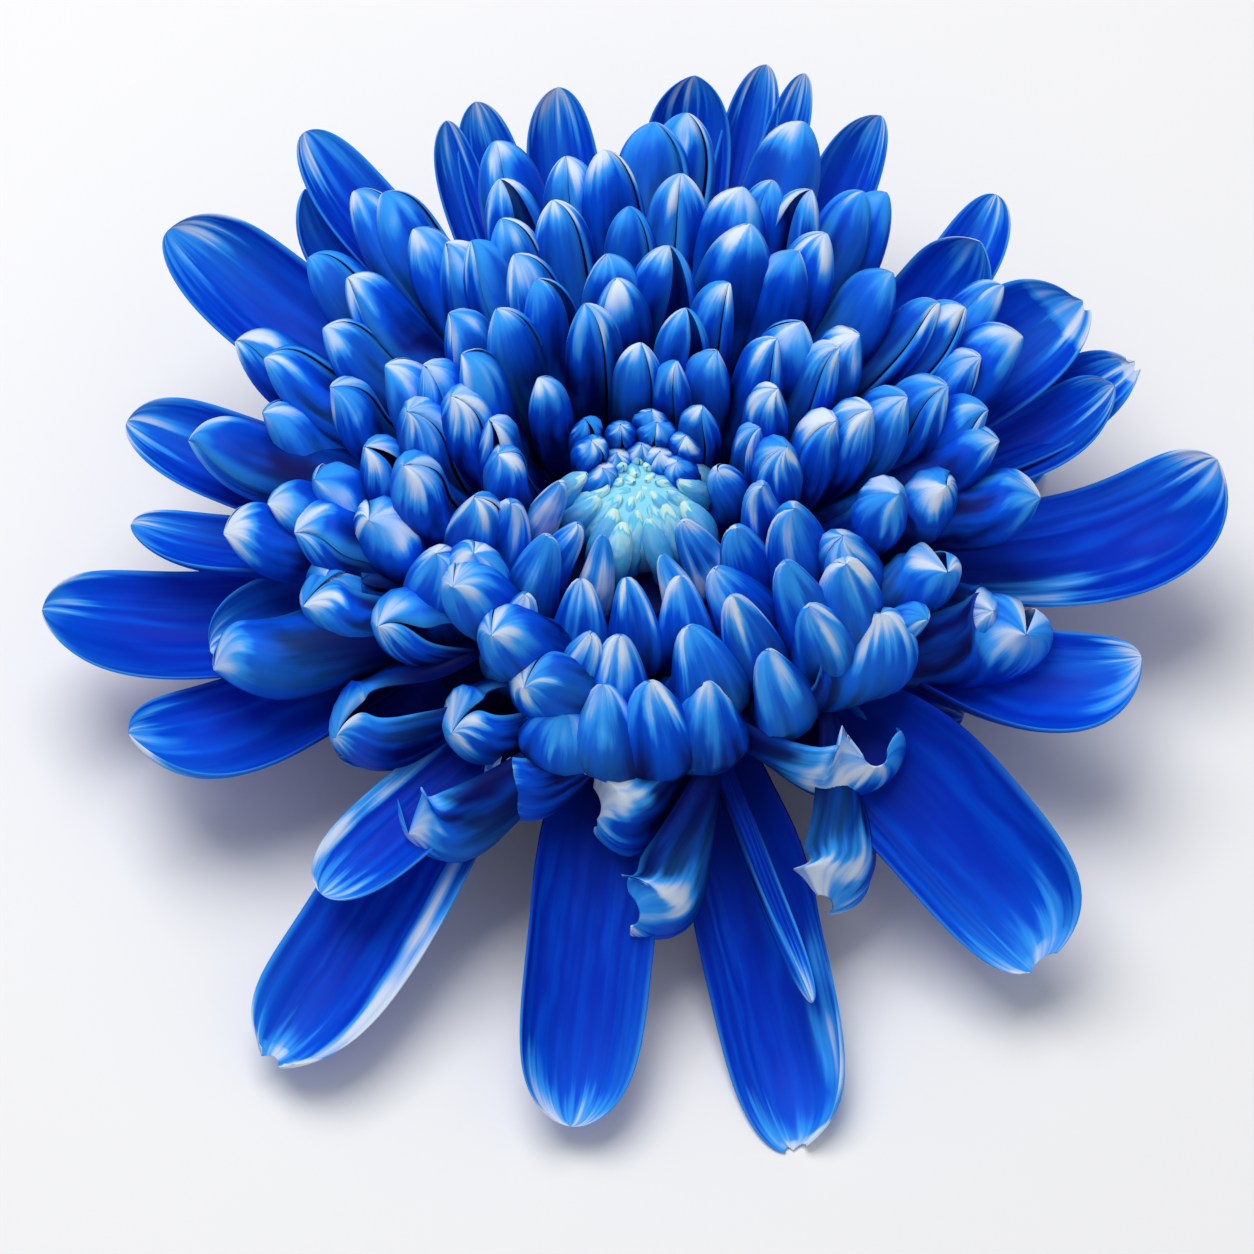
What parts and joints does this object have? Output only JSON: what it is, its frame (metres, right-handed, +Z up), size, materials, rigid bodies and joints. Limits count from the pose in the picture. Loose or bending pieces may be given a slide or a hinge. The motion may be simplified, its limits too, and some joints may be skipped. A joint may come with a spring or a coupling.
{
  "type": "cremon chrysanthemum bloom",
  "caption": "Cut incurved chrysanthemum bloom with layered blue channelled petals, a pale green eye and a short stem, resting on its low petals.",
  "frame": {"origin": "on the surface that the bloom rests on, under the middle of its outline", "axes": "+Z up out of the eye, -Y towards the side that the picture looks from, +X to the picture's right"},
  "size_m": [0.1318, 0.1262, 0.0465],
  "materials": {
    "blue_petals": "soft satin petals dyed blue, paler at the tips and margins",
    "green_eye": "soft satin, pale green turning to light blue outwards",
    "stem_and_bracts": "matt green, finely ribbed"
  },
  "bodies": {
    "root": {"blue_petals": "blue_petals", "green_eye": "green_eye", "stem_and_bracts": "stem_and_bracts"}
  },
  "joints": []
}
